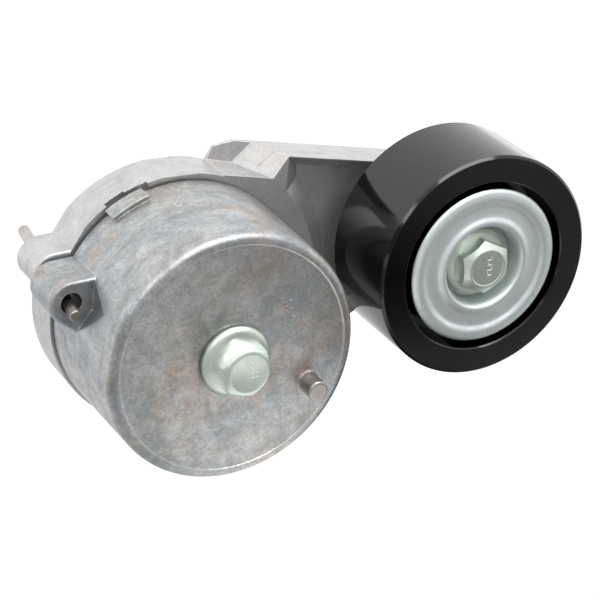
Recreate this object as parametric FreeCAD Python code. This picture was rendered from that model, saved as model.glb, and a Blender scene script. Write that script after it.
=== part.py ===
import FreeCAD, Part
import math
import os

Vector = FreeCAD.Vector

# Frame: the pivot axis is Y and +Z is up. The origin is the centre of the rear seat, the face
# that bolts to the engine. The closed front of the spring case looks towards -Y.
# All sizes are in millimetres and degrees. Polar angles run from +X towards +Z.

# Driving dimensions
ARM_LENGTH = 99.0
ARM_ANGLE = 3.9
ARM_TRAVEL = 30.0
PULLEY_RADIUS = 40.0
PULLEY_WIDTH = 34.25
PULLEY_FRONT = -56.0
CASE_FRONT = -66.0
CASE_BACK = -21.1
CASE_FRONT_RADIUS = 43.2
CASE_BACK_RADIUS = 43.9
CASE_BORE = 38.5
FLOOR_THICKNESS = 5.0
RING_FRONT = -20.0
RING_BACK = -3.5
ARM_FRONT = -17.8
RING_RADIUS = 46.0
RING_LOW_RADIUS = 44.9
RING_FLAT_START = 132.0
RING_FLAT_END = 142.5
BOLT_RADIUS = 5.0
THREAD_RADIUS = 4.9
THREAD_END = 24.6
THREAD_CHAMFER = 1.2
RELIEF_RADIUS = 4.2
RELIEF_LENGTH = 3.0
TUBE_RADIUS = 11.0
BUSH_RADIUS = 14.5

# Clearances
RUNNING_FIT = 0.05
BOLT_CLEARANCE = 0.4
MOVING_GAP = 0.4
LOOSE_FIT = 0.3

# Bolt heads: across flats, flange radius, flange height, head height, turn of the hexagon
MOUNTING_HEAD = (16.0, 12.0, 2.2, 11.5, 41.0)
PULLEY_HEAD = (17.0, 11.9, 1.6, 8.5, 31.0)
HEAD_FACE_RADIUS = 6.85
HEAD_RIM_WIDTH = 0.45
HEAD_DISH_DEPTH = 0.25
CROWN_ANGLE = 35.0
FLANGE_CONE_HEIGHT = 1.3
FLANGE_RIM_CHAMFER = 0.5
PULLEY_BOLT_LENGTH = 42.0

# Case details
CASE_EDGE_RADIUS = 3.5
FACE_RECESS_RADIUS = 39.3
FACE_RECESS_DEPTH = 0.35
COUNTERBORE_RADIUS = 12.6
COUNTERBORE_DEPTH = 0.6
CASE_HUB_RADIUS = 17.0
CASE_HUB_END = -24.6
CASE_LUG_CENTRE = (-43.9, 18.0)
CASE_LUG_RADIUS = 7.6
CASE_LUG_FOOT = 170.5
LUG_EDGE = 1.2
CASE_LUG_FRONT = -40.0
PIN_HOLE_CENTRE = (-44.35, 18.45)
PIN_HOLE_RADIUS = 3.65
SCOOP_MOUTH = ((-37.4, 14.7), (-35.4, 30.2), (-48.2, 2.0))
SCOOP_TIP_RADIUS = 45.2
SCOOP_TIP_ANGLE = 151.5
SCOOP_TIP_Y = -61.0
PAD_START = 104.5
PAD_END = 122.0
PAD_FRONT = -27.0
PAD_RADIUS = 45.5
PAD_EDGE = 0.7
STOP_RIB_WIDTH = 12.0

# Locating pin
LOCATING_PIN_CENTRE = (26.8, -15.2)
LOCATING_PIN_RADIUS = 3.5
LOCATING_STEM_RADIUS = 3.2
LOCATING_PIN_HEIGHT = 6.8
LOCATING_PIN_DEPTH = 4.4
LOCATING_PIN_EDGE = 0.9
LOCATING_BOSS_RADIUS = 4.5
LOCATING_BOSS_HEIGHT = 0.7

# Stop pin: a straight rod that leans a little in its oversize hole
STOP_PIN_RADIUS = 2.0
STOP_PIN_POINT = Vector(-44.8, -40.0, 17.0)
STOP_PIN_SLOPE = Vector(0.05, 1.0, 0.155)
STOP_PIN_FRONT = 5.0
STOP_PIN_REAR = 48.6
STOP_PIN_NOSE = 1.6
STOP_PIN_CHAMFER = 0.4

# Arm
ARM_LUG_CENTRE = (-41.8, 19.4)
ARM_LUG_RADIUS = 7.4
ARM_LUG_FOOT = 168.0
ARM_CAP_RADIUS = 18.2
ARM_CAP_RISE = 4.4
GUSSET_RADIUS = 52.7
GUSSET_CORNER_ANGLE = 45.6
SHOULDER_ANGLE = 78.0
NOSE_POINTS = ((18.0, 41.0), (21.8, 46.4), (29.5, 47.2))
REAR_WALL = ((18.0, -6.2, 38.0), (37.0, -7.6, 38.0), (18.0, -4.2, 46.0))
FLANGE_END = (43.8, -17.8, 43.5)
FLOOR_END = (48.5, -13.5, 40.0)
STEP_SIDE = (36.5, -13.2, 41.6)
BLOCK_ANGLE = 37.5
FLANGE_EDGE = 0.5
FLANGE_ROOT = 4.2
WEB_FRONT = -13.5
WEB_BACK = -9.5
WALL_SPREAD = 6.5
REAR_POCKET_START = 61.0
REAR_RIB_WIDTH = 4.0
ARM_CAVITY_RADIUS = 38.6
ARM_CAVITY_END = -9.0
ARM_HUB_RADIUS = 19.0
ARM_HUB_FRONT = -22.6
ARM_HUB_BACK = -4.5
FRONT_BUSH_END = -14.0
REAR_BUSH_START = -12.5
REAR_RECESS_RADIUS = 28.0
SEAL_GROOVE = (39.4, 42.0)
SEAL_GROOVE_DEPTH = 2.2
RING_NOTCHES = ((101.0, 111.0, 1.1), (111.0, 120.5, 2.1))
RING_NOTCH_RADIUS = 42.6
HOOK_WAY_START = 153.6
HOOK_WAY_RADIUS = 51.0
BOSS_RADIUS = 13.0
BOSS_FLARE = 16.0

# End plate and thrust washer
PLATE_RADIUS = 27.0
PLATE_THICKNESS = 3.0
WASHER_RADIUS = 26.0

# Torsion spring
WIRE_RADIUS = 3.0
SPRING_RADIUS = 28.0
SPRING_TURNS = 5.4
SPRING_SEAT_THICKNESS = 1.5
SPRING_REAR = -17.0
ABUTMENT_OFFSET = 9.7
ABUTMENT_WIDTH = 8.0

# Friction damper
SHOE_INNER = 33.2
SHOE_OUTER = 38.2
SHOE_FRONT = -38.0
SHOE_BACK = -23.0
SHOE_START = -60.0
SHOE_END = 60.0
LEAF_THICKNESS = 1.0
TAB_WIDTH = 9.0

# Bearing, 47 x 17 x 14
BEARING_OUTER = 23.5
BEARING_BORE = 8.5
BEARING_WIDTH = 14.0
PITCH_RADIUS = 16.0
BALL_RADIUS = 4.0
BALL_COUNT = 7
CAGE_THICKNESS = 3.2
CAGE_ENDS = (-1.0, 5.4)
CAGE_CLEARANCE = 0.15
TRACK_CLEARANCE = 0.05
INNER_SHOULDER = 13.2
OUTER_SHOULDER = 18.8
SEAL_THICKNESS = 1.0
SEAL_INSET = 0.3
SPACER_HEAD_RADIUS = 12.0

# Pulley details
RECESS_RADIUS = 30.5
REAR_RECESS = 32.5
HUB_WIDTH = 17.0
RETAINING_LIP = 21.8
PULLEY_CHAMFER = 0.9

# Dust shields
SHIELD_THICKNESS = 1.2
SHIELD_FLAT_RADIUS = 12.0
SHIELD_WAVE = ((12.9, 6.1), (13.5, 4.6), (13.9, 2.6), (14.4, 0.9), (15.4, -0.25), (16.6, -0.2),
               (17.8, 0.55), (19.4, 0.85), (21.4, 0.9), (22.4, 0.7), (23.6, -0.05), (24.7, -0.3),
               (26.2, -0.15), (27.3, 0.35), (27.9, 1.1))
CUP_DEPTH = 6.5
REAR_SHIELD_FLAT_RADIUS = 13.4
REAR_SHIELD_WAVE = ((14.0, 0.25), (14.9, 1.2), (16.2, 2.2), (19.0, 2.6), (24.0, 2.6), (29.0, 2.6))

# Derived places
PULLEY_X = ARM_LENGTH * math.cos(math.radians(ARM_ANGLE))
PULLEY_Z = ARM_LENGTH * math.sin(math.radians(ARM_ANGLE))
PULLEY_BACK = PULLEY_FRONT + PULLEY_WIDTH
BEARING_CENTRE = PULLEY_FRONT + PULLEY_WIDTH / 2
BEARING_FRONT = BEARING_CENTRE - BEARING_WIDTH / 2
BEARING_BACK = BEARING_CENTRE + BEARING_WIDTH / 2
HUB_FRONT = BEARING_CENTRE - HUB_WIDTH / 2
HUB_BACK = BEARING_CENTRE + HUB_WIDTH / 2
CUP_FLOOR = PULLEY_FRONT + CUP_DEPTH
BOSS_FRONT = BEARING_BACK + SHIELD_THICKNESS
FLOOR_INSIDE = CASE_FRONT + FLOOR_THICKNESS
LOCATING_BOSS_TOP = CASE_FRONT + FACE_RECESS_DEPTH - LOCATING_BOSS_HEIGHT
LONG = 300.0
SAME_PLACE = 0.02


def polar(radius, angle):
    """Point in the XZ plane at a radius and a polar angle."""
    turn = math.radians(angle)
    return (radius * math.cos(turn), radius * math.sin(turn))


def disc(radius, y_start, y_end, centre=(0.0, 0.0)):
    """Cylinder along Y."""
    base = Vector(centre[0], y_start, centre[1])
    return Part.makeCylinder(radius, y_end - y_start, base, Vector(0, 1, 0))


def tube(inner, outer, y_start, y_end, centre=(0.0, 0.0)):
    """Hollow cylinder along Y."""
    return disc(outer, y_start, y_end, centre).cut(disc(inner, y_start - 1, y_end + 1, centre))


def cone(radius_start, radius_end, y_start, y_end, centre=(0.0, 0.0)):
    """Cone along Y."""
    base = Vector(centre[0], y_start, centre[1])
    return Part.makeCone(radius_start, radius_end, y_end - y_start, base, Vector(0, 1, 0))


def turned(profile, centre=(0.0, 0.0)):
    """Solid of revolution about a line along Y, from (radius, y) points."""
    points = [Vector(radius, y, 0) for radius, y in profile]
    face = Part.Face(Part.makePolygon(points + points[:1]))
    solid = face.revolve(Vector(0, 0, 0), Vector(0, 1, 0), 360)
    solid.translate(Vector(centre[0], 0, centre[1]))
    return solid


def prism(outline, y_start, y_end):
    """Straight prism along Y from XZ points."""
    points = [Vector(x, y_start, z) for x, z in outline]
    face = Part.Face(Part.makePolygon(points + points[:1]))
    return face.extrude(Vector(0, y_end - y_start, 0))


def sector(inner, outer, angle_start, angle_end, y_start, y_end):
    """Part of a hollow cylinder between two polar angles."""
    arcs = []
    middle = (angle_start + angle_end) / 2
    for radius in (inner, outer):
        ends = [Vector(x, y_start, z) for x, z in (
            polar(radius, angle_start), polar(radius, middle), polar(radius, angle_end))]
        arcs.append((Part.Arc(*ends).toShape(), ends[0], ends[2]))
    inner_arc, inner_a, inner_b = arcs[0]
    outer_arc, outer_a, outer_b = arcs[1]
    sides = [Part.makeLine(inner_b, outer_b), Part.makeLine(outer_a, inner_a)]
    wire = Part.Wire(Part.__sortEdges__([inner_arc, outer_arc] + sides))
    return Part.Face(wire).extrude(Vector(0, y_end - y_start, 0))


def slab(angle, width, inner, outer, y_start, y_end):
    """Block that points outwards at a polar angle."""
    box = Part.makeBox(outer - inner, y_end - y_start, width, Vector(inner, y_start, -width / 2))
    box.rotate(Vector(0, 0, 0), Vector(0, 1, 0), -angle)
    return box


def rounded(shape, radius, chosen):
    """Fillet the edges that a test picks."""
    return shape.makeFillet(radius, [edge for edge in shape.Edges if chosen(edge)])


def outer_edge_at(y, least_radius):
    """Test for an edge in a plane across the pivot axis, out beyond a radius."""
    def chosen(edge):
        box = edge.BoundBox
        middle = edge.CenterOfMass
        level = box.YLength < SAME_PLACE and abs(box.YMin - y) < SAME_PLACE
        return level and math.hypot(middle.x, middle.z) > least_radius
    return chosen


def circle_edge_at(y, radius, centre=(0.0, 0.0)):
    """Test for a circular edge at a given Y, radius and centre."""
    def chosen(edge):
        curve = edge.Curve
        if not isinstance(curve, Part.Circle):
            return False
        offset = math.hypot(curve.Center.x - centre[0], curve.Center.z - centre[1])
        return max(abs(curve.Center.y - y), abs(curve.Radius - radius), offset) < SAME_PLACE
    return chosen


def tangent_point(point, centre, radius, side):
    """Where a line from a point touches a circle, on the side given as +1 or -1."""
    dx = point[0] - centre[0]
    dz = point[1] - centre[1]
    away = math.atan2(dz, dx)
    swing = math.acos(radius / math.hypot(dx, dz))
    turn = away + side * swing
    return (centre[0] + radius * math.cos(turn), centre[1] + radius * math.sin(turn))


def hex_head(head, seat):
    """Flanged hexagon head with a dished face, that stands on y = seat and points towards -Y."""
    across_flats, flange_radius, flange_top, hex_top, turn = head
    rim = seat - flange_top
    top = seat - hex_top
    corner = across_flats / 2 / math.cos(math.radians(30))
    shoulder = rim - FLANGE_CONE_HEIGHT
    flange = turned([(0, seat), (flange_radius - FLANGE_RIM_CHAMFER, seat),
                     (flange_radius, seat - FLANGE_RIM_CHAMFER), (flange_radius, rim),
                     (corner + 0.3, shoulder), (0, shoulder)])
    points = [polar(corner, turn + 60 * number) for number in range(6)]
    hexagon = prism(points, top, seat - 0.2)
    drop = math.tan(math.radians(CROWN_ANGLE)) * (corner - HEAD_FACE_RADIUS)
    floor = top + HEAD_DISH_DEPTH
    crown = turned([(0, seat), (corner + 1, seat), (corner + 1, top + drop), (corner, top + drop),
                    (HEAD_FACE_RADIUS, top), (HEAD_FACE_RADIUS - HEAD_RIM_WIDTH, top),
                    (HEAD_FACE_RADIUS - 2 * HEAD_RIM_WIDTH, floor), (0, floor)])
    return flange.fuse(hexagon.common(crown))


def threaded_end(radius, y_start, y_end):
    """Bolt shank or thread with a chamfered end."""
    return turned([(0, y_start), (radius, y_start), (radius, y_end - THREAD_CHAMFER),
                   (radius - THREAD_CHAMFER, y_end), (0, y_end)])


def stop_pin_rod(radius, start, end):
    """Rod on the leaning axis of the stop pin, between two distances from its reference point."""
    axis = Vector(STOP_PIN_SLOPE)
    axis.normalize()
    base = STOP_PIN_POINT + axis * start
    return Part.makeCylinder(radius, end - start, base, axis)


def side_lug(centre, radius, foot_angle, y_start, y_end):
    """Round-ended lug that runs level into the side of a round body above and slopes in below."""
    x, z = centre
    reach = CASE_BORE + 1
    inner_x = -math.sqrt(reach ** 2 - (z + radius) ** 2)
    foot = polar(CASE_BACK_RADIUS - 0.5, foot_angle)
    below = tangent_point(foot, centre, radius, -1)
    outline = [(x, z + radius), (inner_x, z + radius), polar(reach, foot_angle), foot, below, centre]
    filler = prism(outline, y_start, y_end)
    return disc(radius, y_start, y_end, centre).fuse(filler).removeSplitter()


def case_lug():
    """Lug on the side of the case, blended back into the wall."""
    lug = side_lug(CASE_LUG_CENTRE, CASE_LUG_RADIUS, CASE_LUG_FOOT, CASE_LUG_FRONT, CASE_BACK)
    lug = rounded(lug, LUG_EDGE, outer_edge_at(CASE_LUG_FRONT, CASE_BACK_RADIUS))
    return rounded(lug, LUG_EDGE, outer_edge_at(CASE_BACK, CASE_BACK_RADIUS))


def case_scoop():
    """Notch of two sloping faces in the wall ahead of the lug, that gives a way in for the stop pin."""
    corners = [Vector(x, CASE_LUG_FRONT, z) for x, z in SCOOP_MOUTH]
    x, z = polar(SCOOP_TIP_RADIUS, SCOOP_TIP_ANGLE)
    tip = Part.Vertex(x, SCOOP_TIP_Y, z)
    return Part.makeLoft([Part.makePolygon(corners + corners[:1]), tip], True, True)


def make_spring_case():
    outer = [(0, CASE_FRONT + FACE_RECESS_DEPTH), (FACE_RECESS_RADIUS, CASE_FRONT + FACE_RECESS_DEPTH),
             (FACE_RECESS_RADIUS + 0.3, CASE_FRONT), (CASE_FRONT_RADIUS, CASE_FRONT),
             (CASE_BACK_RADIUS, CASE_BACK), (0, CASE_BACK)]
    body = turned(outer)
    body = rounded(body, CASE_EDGE_RADIUS - 0.3, circle_edge_at(CASE_FRONT, CASE_FRONT_RADIUS))
    pad = sector(CASE_BORE + 2, PAD_RADIUS, PAD_START, PAD_END, PAD_FRONT, CASE_BACK + 0.5)
    pad = rounded(pad, PAD_EDGE, outer_edge_at(PAD_FRONT, PAD_RADIUS - 2))
    body = body.cut(case_scoop()).fuse([case_lug(), pad])
    body = body.cut(tube(CASE_HUB_RADIUS, CASE_BORE, FLOOR_INSIDE, CASE_BACK + 2))
    body = body.cut(disc(CASE_HUB_RADIUS + 1, CASE_HUB_END, CASE_BACK + 2))
    body = body.cut(disc(TUBE_RADIUS, FLOOR_INSIDE, 0))
    body = body.cut(disc(BOLT_RADIUS + BOLT_CLEARANCE, CASE_FRONT - 1, FLOOR_INSIDE + 1))
    body = body.cut(disc(COUNTERBORE_RADIUS, CASE_FRONT - 1, CASE_FRONT + COUNTERBORE_DEPTH))
    body = body.cut(disc(PIN_HOLE_RADIUS, CASE_LUG_FRONT - 1, CASE_BACK + 1, PIN_HOLE_CENTRE))
    boss = disc(LOCATING_BOSS_RADIUS, LOCATING_BOSS_TOP, FLOOR_INSIDE - 1, LOCATING_PIN_CENTRE)
    hole_end = CASE_FRONT + LOCATING_PIN_DEPTH
    hole = disc(LOCATING_STEM_RADIUS, LOCATING_BOSS_TOP - 1, hole_end, LOCATING_PIN_CENTRE)
    body = body.fuse(boss).cut(hole)
    abutment = slab(spring_front_angle() - ABUTMENT_OFFSET, ABUTMENT_WIDTH, CASE_HUB_RADIUS - 2,
                    SPRING_RADIUS + WIRE_RADIUS, FLOOR_INSIDE - 1,
                    FLOOR_INSIDE + SPRING_SEAT_THICKNESS + 2 * WIRE_RADIUS)
    rib = slab(stop_rib_angle(), STOP_RIB_WIDTH, SHOE_INNER, CASE_BORE + 1, SHOE_FRONT, CASE_BACK - 0.4)
    return body.fuse([abutment, rib]).removeSplitter()


def spring_front_angle():
    """Polar angle of the front end of the spring."""
    return 0.0


def tab_angles():
    """Polar angles of the two drive tabs of the arm, one at each end of the damper shoe."""
    half = math.degrees(TAB_WIDTH / 2 / SHOE_OUTER) + 1.5
    return (SHOE_START - half, SHOE_END + half)


def stop_rib_angle():
    """Polar angle of the rib that the lower drive tab meets at full travel."""
    tab_half = math.degrees(TAB_WIDTH / 2 / SHOE_INNER)
    rib_half = math.degrees(STOP_RIB_WIDTH / 2 / SHOE_INNER)
    return tab_angles()[0] - ARM_TRAVEL - tab_half - rib_half - 1.0


def make_locating_pin():
    x, z = LOCATING_PIN_CENTRE
    front = CASE_FRONT - LOCATING_PIN_HEIGHT
    pin = disc(LOCATING_PIN_RADIUS, front, LOCATING_BOSS_TOP, (x, z))
    pin = rounded(pin, LOCATING_PIN_EDGE, circle_edge_at(front, LOCATING_PIN_RADIUS, (x, z)))
    stem = disc(LOCATING_STEM_RADIUS, front + 1, CASE_FRONT + LOCATING_PIN_DEPTH, (x, z))
    return pin.fuse(stem).removeSplitter()


def make_mounting_bolt():
    seat = CASE_FRONT + COUNTERBORE_DEPTH
    head = hex_head(MOUNTING_HEAD, seat)
    shank = disc(BOLT_RADIUS, seat - 1, -RELIEF_LENGTH)
    relief = disc(RELIEF_RADIUS, -RELIEF_LENGTH - 1, 1)
    return head.fuse([shank, relief, threaded_end(THREAD_RADIUS, 0, THREAD_END)]).removeSplitter()


def make_pivot_tube():
    return tube(BOLT_RADIUS + BOLT_CLEARANCE, TUBE_RADIUS, FLOOR_INSIDE, 0)


def make_end_plate():
    return turned([(TUBE_RADIUS, -PLATE_THICKNESS), (PLATE_RADIUS, -PLATE_THICKNESS),
                   (PLATE_RADIUS, -0.6), (PLATE_RADIUS - 0.6, 0), (TUBE_RADIUS, 0)])


def make_thrust_washer():
    back = -PLATE_THICKNESS - RUNNING_FIT
    return tube(TUBE_RADIUS + LOOSE_FIT, WASHER_RADIUS, ARM_HUB_BACK + 2 * RUNNING_FIT, back)


def make_front_bush():
    inner = TUBE_RADIUS + RUNNING_FIT
    flange = tube(inner, ARM_HUB_RADIUS - 0.5, CASE_HUB_END + 0.15, ARM_HUB_FRONT)
    return flange.fuse(tube(inner, BUSH_RADIUS, ARM_HUB_FRONT, FRONT_BUSH_END)).removeSplitter()


def make_rear_bush():
    return tube(TUBE_RADIUS + RUNNING_FIT, BUSH_RADIUS, REAR_BUSH_START, ARM_HUB_BACK)


def make_spring_seat():
    seat = tube(CASE_HUB_RADIUS + LOOSE_FIT, CASE_BORE - LOOSE_FIT, FLOOR_INSIDE,
                FLOOR_INSIDE + SPRING_SEAT_THICKNESS)
    opening = slab(spring_front_angle() - ABUTMENT_OFFSET, ABUTMENT_WIDTH + 1, 0,
                   SPRING_RADIUS + WIRE_RADIUS + 0.6, FLOOR_INSIDE - 1, FLOOR_INSIDE + 4)
    return seat.cut(opening)


def make_torsion_spring():
    front = FLOOR_INSIDE + SPRING_SEAT_THICKNESS + WIRE_RADIUS + 0.1
    height = SPRING_REAR - front
    pitch = height / SPRING_TURNS
    helix = Part.makeHelix(pitch, height, SPRING_RADIUS)
    direction = Vector(0, SPRING_RADIUS, pitch / (2 * math.pi))
    section = Part.Wire(Part.makeCircle(WIRE_RADIUS, Vector(SPRING_RADIUS, 0, 0), direction))
    coil = Part.Wire(helix.Edges).makePipeShell([section], True, True)
    coil.rotate(Vector(0, 0, 0), Vector(1, 0, 0), 90)
    coil = coil.mirror(Vector(0, 0, 0), Vector(0, 1, 0))
    coil.translate(Vector(0, front, 0))
    return coil


def flat_point(point):
    """Point of the plane y = 0 from its X and Z."""
    return Vector(point[0], 0, point[1])


def arm_outline(inset):
    """Outline of the arm in the XZ plane, drawn in by a distance, as a face at y = 0."""
    centre = (PULLEY_X, PULLEY_Z + ARM_CAP_RISE)
    cap = ARM_CAP_RADIUS - inset
    nose = [(x, z - inset) for x, z in NOSE_POINTS]
    top = tangent_point(nose[-1], centre, cap, -1)
    lean = math.degrees(math.atan2(centre[1], centre[0]))
    spread = math.degrees(math.asin((RING_LOW_RADIUS - ARM_CAP_RADIUS) / math.hypot(*centre)))
    below = lean - 90 + spread
    low_offset = polar(cap, below)
    low_cap = (centre[0] + low_offset[0], centre[1] + low_offset[1])
    low_root = polar(RING_LOW_RADIUS - inset, below)
    tip = (centre[0] + cap, centre[1])
    edges = [Part.makePolygon([flat_point(point) for point in nose + [top]])]
    edges.append(Part.Arc(flat_point(top), flat_point(tip), flat_point(low_cap)).toShape())
    edges.append(Part.makePolygon([flat_point(point) for point in (low_cap, low_root, (0, 0), nose[0])]))
    pieces = [edge for shape in edges for edge in shape.Edges]
    return Part.Face(Part.Wire(Part.__sortEdges__(pieces)))


def arm_slice(inset, y_start, y_end):
    """Extrusion of the arm outline."""
    face = arm_outline(inset)
    face.translate(Vector(0, y_start, 0))
    return face.extrude(Vector(0, y_end - y_start, 0))


def behind(first, second, third):
    """Half space behind the plane through three points, taken anticlockwise as seen from outside."""
    start = Vector(*first)
    normal = (Vector(*second) - start).cross(Vector(*third) - start)
    block = Part.makeBox(LONG, LONG, LONG, Vector(-LONG / 2, -LONG / 2, -LONG))
    block.Placement = FreeCAD.Placement(start, FreeCAD.Rotation(Vector(0, 0, 1), normal))
    return block


def front_corner(angle):
    """Point on the front edge of the gusset."""
    x, z = polar(GUSSET_RADIUS, angle)
    return (x, RING_FRONT, z)


def shoulder_cut():
    """Space above the front shoulder, between an upright rear wall and a step that leans outwards."""
    corner = front_corner(GUSSET_CORNER_ANGLE)
    above = [polar(RING_RADIUS, SHOULDER_ANGLE), (corner[0], corner[2]), (80, corner[2]), (80, 90),
             (-10, 90), (-10, RING_RADIUS + 0.4)]
    space = prism(above, RING_FRONT - 1, 0).cut(behind(*REAR_WALL))
    return space.cut(behind(corner, FLANGE_END, STEP_SIDE))


def corner_block():
    """Blend between the front of the gusset and the end of the top flange."""
    corner = front_corner(GUSSET_CORNER_ANGLE)
    foot = front_corner(BLOCK_ANGLE)
    block = prism([(30, foot[2]), (60, foot[2]), (60, 60), (30, 60)], RING_FRONT, WEB_FRONT)
    block = block.common(arm_slice(0, RING_FRONT, WEB_FRONT))
    block = block.common(behind(corner, foot, FLANGE_END))
    return block.common(behind(foot, FLOOR_END, FLANGE_END))


def gusset_cone(margin):
    """Cone whose slope is the wall between the gusset and the floor of the front pocket."""
    slope = WALL_SPREAD / (WEB_FRONT - RING_FRONT)
    start = GUSSET_RADIUS - slope * margin
    end = GUSSET_RADIUS + WALL_SPREAD + slope * margin
    return cone(start, end, RING_FRONT - margin, WEB_FRONT + margin)


def front_pocket():
    """Pocket in the front of the arm, with a sloping wall round the gusset and the pulley boss."""
    mouth = arm_outline(FLANGE_EDGE)
    mouth.translate(Vector(0, ARM_FRONT, 0))
    floor = arm_outline(FLANGE_ROOT)
    floor.translate(Vector(0, WEB_FRONT, 0))
    pocket = Part.makeLoft([mouth.OuterWire, floor.OuterWire], True, True)
    boss = cone(BOSS_RADIUS, BOSS_FLARE, RING_FRONT - 1, WEB_FRONT + 1, (PULLEY_X, PULLEY_Z))
    return pocket.cut(gusset_cone(1)).cut(boss).cut(corner_block())


def rear_pocket():
    """Two pockets in the back of the arm, with a rib between them."""
    pocket = arm_slice(FLANGE_ROOT, WEB_BACK, RING_BACK + 1)
    pocket = pocket.cut(disc(REAR_POCKET_START, WEB_BACK - 1, 0))
    pocket = pocket.cut(disc(BOSS_FLARE, WEB_BACK - 1, 0, (PULLEY_X, PULLEY_Z)))
    return pocket.cut(slab(ARM_ANGLE, REAR_RIB_WIDTH, 0, ARM_LENGTH, WEB_BACK - 1, 0))


def arm_lug():
    """Lug of the arm that hooks over the stop pin, open on its lower side."""
    lug = side_lug(ARM_LUG_CENTRE, ARM_LUG_RADIUS, ARM_LUG_FOOT, RING_FRONT, RING_BACK)
    lug = rounded(lug, 1.0, outer_edge_at(RING_FRONT, RING_RADIUS))
    return rounded(lug, 1.0, outer_edge_at(RING_BACK, RING_RADIUS))


def arm_hook_slot():
    """Seat of the stop pin and the way along which the lug lifts off it."""
    seat = stop_pin_rod(STOP_PIN_RADIUS + MOVING_GAP, 14, 50)
    way_end = HOOK_WAY_START + ARM_TRAVEL + 10
    way = sector(RING_RADIUS, HOOK_WAY_RADIUS, HOOK_WAY_START, way_end, RING_FRONT - 1, RING_BACK + 1)
    return seat.fuse(way)


def drive_tabs():
    """Tabs that reach into the case, push the damper shoe and stop the arm at full travel."""
    tabs = [slab(angle, TAB_WIDTH, SHOE_INNER, SHOE_OUTER - 0.2, SHOE_FRONT + 2, RING_FRONT + 3)
            for angle in tab_angles()]
    links = [slab(angle, TAB_WIDTH, SHOE_INNER, ARM_CAVITY_RADIUS + 0.5, RING_FRONT, ARM_CAVITY_END + 1)
             for angle in tab_angles()]
    return tabs + links


def spring_rear_angle():
    """Polar angle of the rear end of the spring."""
    return spring_front_angle() + 360 * SPRING_TURNS


def make_arm():
    ring = disc(RING_LOW_RADIUS, RING_FRONT, RING_BACK)
    ring = ring.fuse(sector(10, RING_RADIUS, 10, RING_FLAT_START, RING_FRONT, RING_BACK))
    flat = [polar(10, RING_FLAT_START), polar(RING_RADIUS, RING_FLAT_START),
            polar(RING_LOW_RADIUS, RING_FLAT_END), polar(10, RING_FLAT_END)]
    ring = ring.fuse(prism(flat, RING_FRONT, RING_BACK))
    gusset = sector(10, ARM_LENGTH, -55, SHOULDER_ANGLE, RING_FRONT, WEB_FRONT)
    gusset = gusset.common(gusset_cone(0)).common(arm_slice(0, RING_FRONT, WEB_FRONT))
    body = ring.fuse([arm_slice(0, ARM_FRONT, RING_BACK), gusset, corner_block()])
    body = body.cut(shoulder_cut()).cut(front_pocket()).cut(rear_pocket())
    body = body.fuse(arm_lug()).cut(arm_hook_slot())
    boss = disc(BOSS_RADIUS, BOSS_FRONT, WEB_BACK, (PULLEY_X, PULLEY_Z))
    body = body.fuse(boss)
    body = body.cut(tube(ARM_HUB_RADIUS, ARM_CAVITY_RADIUS, RING_FRONT - 1, ARM_CAVITY_END))
    body = body.fuse(disc(ARM_HUB_RADIUS, ARM_HUB_FRONT, ARM_CAVITY_END))
    body = body.cut(disc(BUSH_RADIUS, ARM_HUB_FRONT - 1, 0))
    body = body.cut(disc(REAR_RECESS_RADIUS, ARM_HUB_BACK, 0))
    body = body.cut(tube(*SEAL_GROOVE, RING_FRONT - 1, RING_FRONT + SEAL_GROOVE_DEPTH))
    abutment = slab(spring_rear_angle() + ABUTMENT_OFFSET, ABUTMENT_WIDTH, ARM_HUB_RADIUS - 2,
                    SPRING_RADIUS + WIRE_RADIUS, SPRING_REAR - WIRE_RADIUS, ARM_CAVITY_END + 1)
    body = body.fuse(drive_tabs() + [abutment])
    for start, end, depth in RING_NOTCHES:
        notch = sector(RING_NOTCH_RADIUS, RING_RADIUS + 2, start, end, RING_FRONT - 1, RING_FRONT + depth)
        body = body.cut(notch)
    body = body.cut(disc(BOLT_RADIUS, BOSS_FRONT - 1, RING_BACK - 2.5, (PULLEY_X, PULLEY_Z)))
    return body.removeSplitter()


def make_dust_seal():
    inner = SEAL_GROOVE[0] + 0.1
    base = tube(inner, SEAL_GROOVE[1] - 0.1, RING_FRONT - 0.1, RING_FRONT + SEAL_GROOVE_DEPTH)
    lip = tube(inner, inner + 0.8, RING_FRONT - 0.8, RING_FRONT)
    return base.fuse(lip).removeSplitter()


def make_damper_shoe():
    return sector(SHOE_INNER, SHOE_OUTER, SHOE_START, SHOE_END, SHOE_FRONT, SHOE_BACK)


def make_damper_spring():
    outer = SHOE_INNER - 0.05
    inner = outer - LEAF_THICKNESS
    return sector(inner, outer, SHOE_START + 6, SHOE_END - 6, SHOE_FRONT + 2, SHOE_BACK - 2)


def make_stop_pin():
    rod = stop_pin_rod(STOP_PIN_RADIUS, -STOP_PIN_FRONT, STOP_PIN_REAR)
    ends = [edge for edge in rod.Edges if isinstance(edge.Curve, Part.Circle)]
    back = max(ends, key=lambda edge: edge.Curve.Center.y)
    rod = rod.makeFillet(STOP_PIN_NOSE, [back])
    ends = [edge for edge in rod.Edges if isinstance(edge.Curve, Part.Circle)]
    front = min(ends, key=lambda edge: edge.Curve.Center.y)
    return rod.makeChamfer(STOP_PIN_CHAMFER, [front])


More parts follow.
